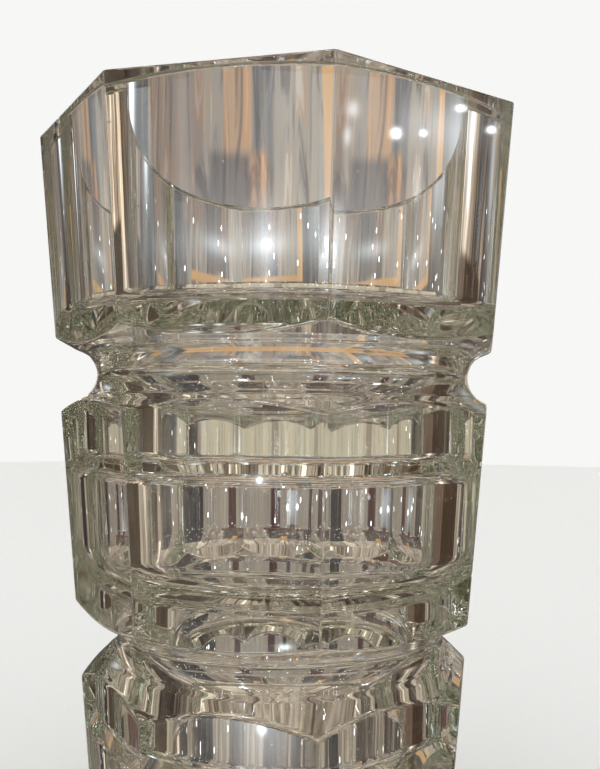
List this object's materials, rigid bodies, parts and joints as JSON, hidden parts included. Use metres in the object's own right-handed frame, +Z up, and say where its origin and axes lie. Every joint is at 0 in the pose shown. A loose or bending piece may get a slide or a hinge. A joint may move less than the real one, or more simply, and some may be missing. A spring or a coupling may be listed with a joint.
{
  "type": "cut crystal vase",
  "caption": "Heavy clear crystal vase with an octagonal, slightly tapered body in stacked tiers parted by turned grooves, and a round bore that widens inside each tier.",
  "frame": {"origin": "middle of the flat foot", "axes": "+Z up along the vase's axis, with flat faces square to +X and +Y"},
  "size_m": [0.1882, 0.1882, 0.3],
  "materials": {
    "crystal": "clear, polished"
  },
  "bodies": {
    "root": {"crystal_body": "crystal"}
  },
  "joints": []
}
